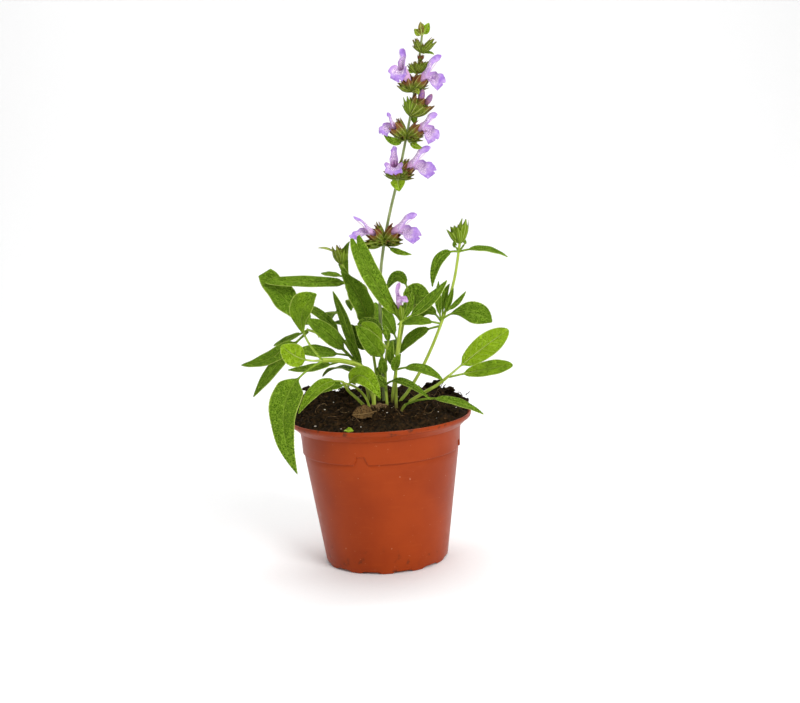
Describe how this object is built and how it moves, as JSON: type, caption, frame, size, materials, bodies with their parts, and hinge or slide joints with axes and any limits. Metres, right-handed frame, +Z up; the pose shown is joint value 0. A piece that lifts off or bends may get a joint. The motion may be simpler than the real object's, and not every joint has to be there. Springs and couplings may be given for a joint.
{
  "type": "potted sage",
  "caption": "Leafy potted sage with one tall violet flower spike, in a round tapered plastic nursery pot filled with dark peat, standing on the pot's feet.",
  "frame": {"origin": "centre of the pot's foot, on the surface that the pot stands on", "axes": "+Z up along the pot's axis, -Y towards the side that the plant shows in the picture, +X to that view's right"},
  "size_m": [0.2101, 0.14, 0.4028],
  "materials": {
    "pot_plastic": "satin",
    "peat": "matte",
    "sage_leaf": "matte",
    "young_leaf": "matte",
    "dark_leaf": "matte",
    "spike_green": "matte",
    "violet_petal": "matte",
    "pink_petal": "matte",
    "dead_leaf": "matte"
  },
  "bodies": {
    "root": {"back_left_shoot": "dark_leaf", "back_right_shoot": "dark_leaf", "basal_shoot": "dark_leaf", "bud_corolla_1": "violet_petal", "bud_shoot": "sage_leaf", "centre_shoot": "sage_leaf", "corolla_1": "violet_petal", "corolla_2": "violet_petal", "corolla_3": "violet_petal", "corolla_4": "violet_petal", "corolla_5": "violet_petal", "corolla_6": "violet_petal", "corolla_7": "violet_petal", "corolla_8": "violet_petal", "dry_leaf": "dead_leaf", "flower_spike": "spike_green", "left_back_shoot": "sage_leaf", "low_right_shoot": "young_leaf", "lower_left_shoot": "sage_leaf", "middle_shoot": "sage_leaf", "pale_shoot": "young_leaf", "peat": "peat", "pink_corolla": "pink_petal", "pot": "pot_plastic", "tall_shoot": "sage_leaf"}
  },
  "joints": []
}
